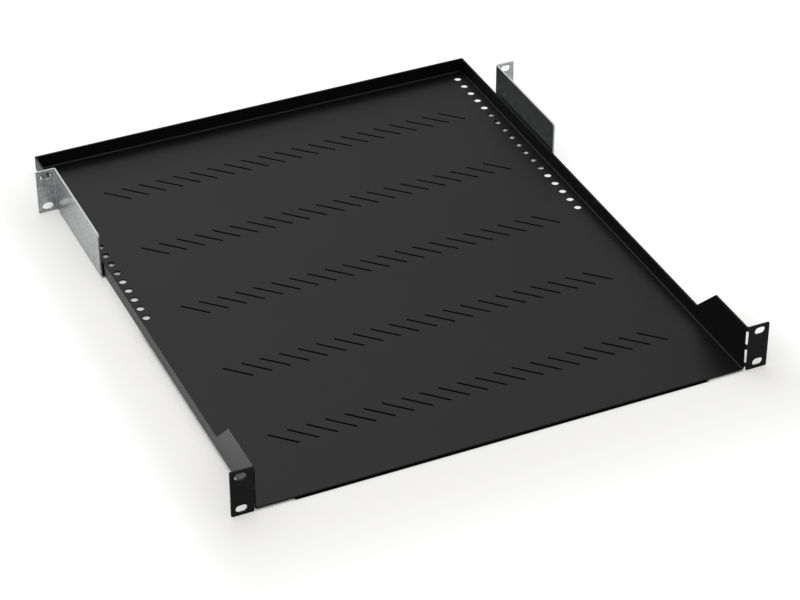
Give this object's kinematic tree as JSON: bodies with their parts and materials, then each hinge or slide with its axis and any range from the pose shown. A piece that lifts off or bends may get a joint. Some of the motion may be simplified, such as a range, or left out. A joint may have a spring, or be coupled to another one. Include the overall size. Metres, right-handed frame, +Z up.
{
  "type": "perforated rack shelf",
  "caption": "Shallow black steel rack tray with diagonal slits, folded mounting ears, low rims, and galvanised rear support brackets.",
  "frame": {"origin": "middle of the bounding box's base: halfway between the ears and the rear lip, at the level of the brackets' underside", "axes": "+X across the rack to the right seen from the front, +Y from the front ears to the rear lip, +Z up"},
  "size_m": [0.4826, 0.55, 0.0455],
  "materials": {
    "black_powder_coat": "satin black powder coat",
    "galvanised_steel": "dull zinc with a faint spangle"
  },
  "bodies": {
    "root": {"shelf_tray": "black_powder_coat", "left_rear_bracket": "galvanised_steel", "right_rear_bracket": "galvanised_steel"}
  },
  "joints": []
}
